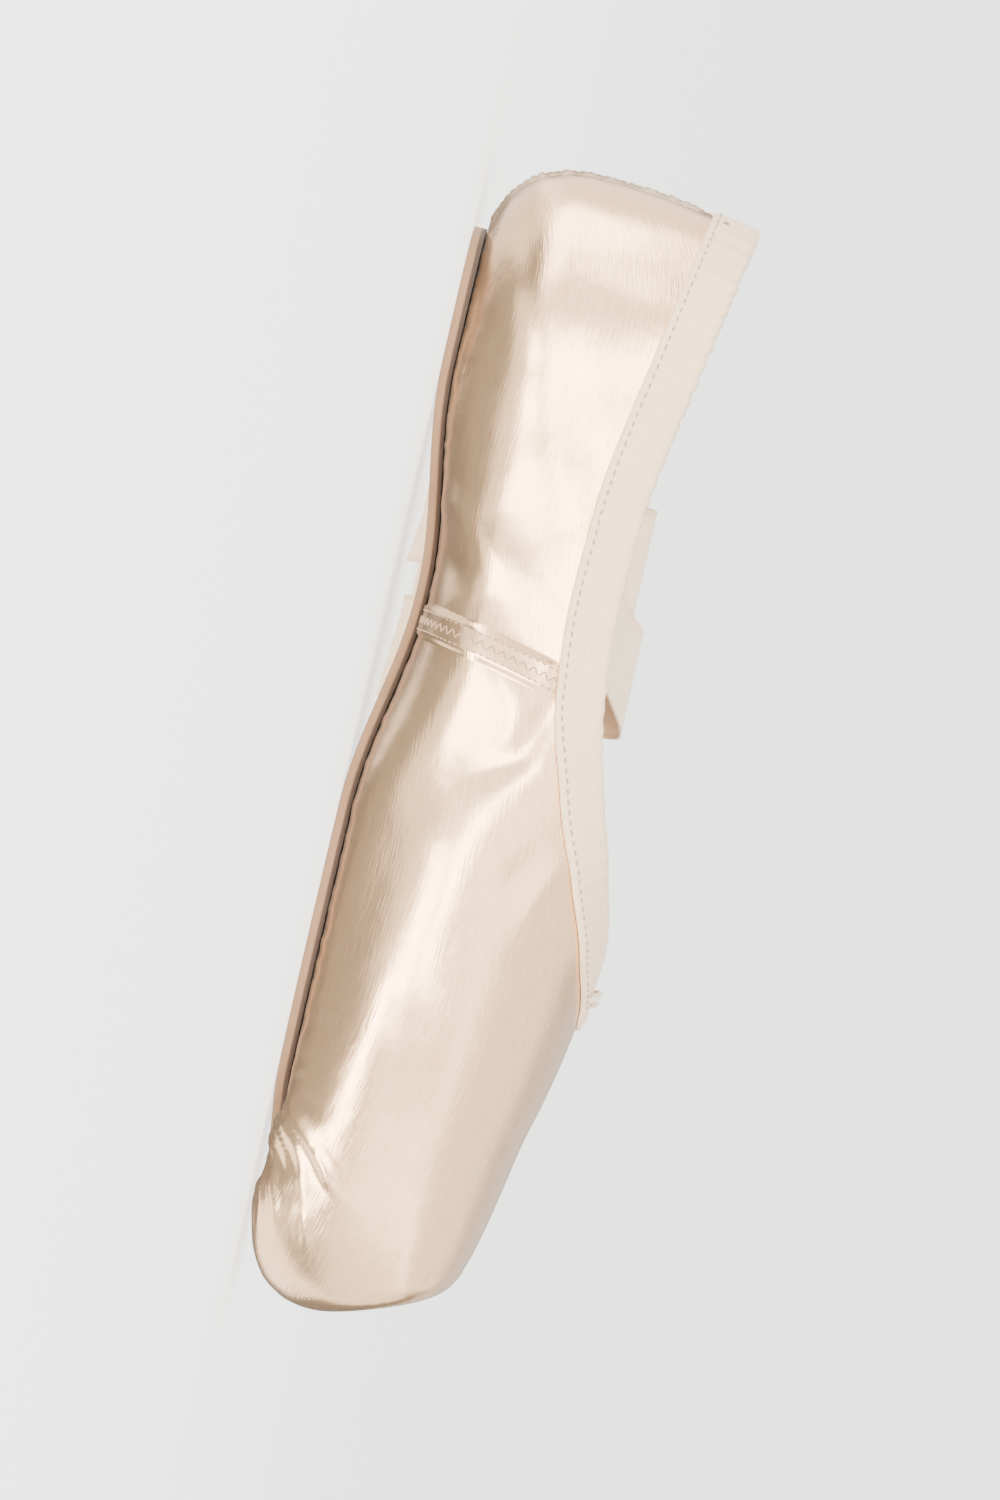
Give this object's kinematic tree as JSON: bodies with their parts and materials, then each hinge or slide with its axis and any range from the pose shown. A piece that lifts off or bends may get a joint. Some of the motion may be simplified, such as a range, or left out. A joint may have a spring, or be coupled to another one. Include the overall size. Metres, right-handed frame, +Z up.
{
  "type": "pointe shoe",
  "caption": "Satin pointe shoe for ballet: hard toe box with a flat platform, low sides, drawstring binding, slim leather sole and sewn-in ribbons laid out beside it.",
  "frame": {"origin": "on the floor, under the middle of the shoe's length and width, measured without the ribbons", "axes": "+X runs along the shoe to the toe, +Y to the side on which the ribbons lie, +Z up through the collar"},
  "size_m": [0.2432, 0.3022, 0.0609],
  "materials": {
    "satin": "glossy peach satin over a stiffened box",
    "sole_leather": "pale tan leather, lightly scuffed nap",
    "lining": "matt cotton lining and sock",
    "binding_tape": "matt cotton tape",
    "drawstring": "cotton cord",
    "ribbon": "soft satin ribbon with woven edges"
  },
  "bodies": {
    "root": {"upper": "satin", "outsole": "sole_leather", "insole": "lining", "binding": "binding_tape", "drawstring_knot": "drawstring", "ribbon_left": "ribbon", "ribbon_right": "ribbon"}
  },
  "joints": []
}
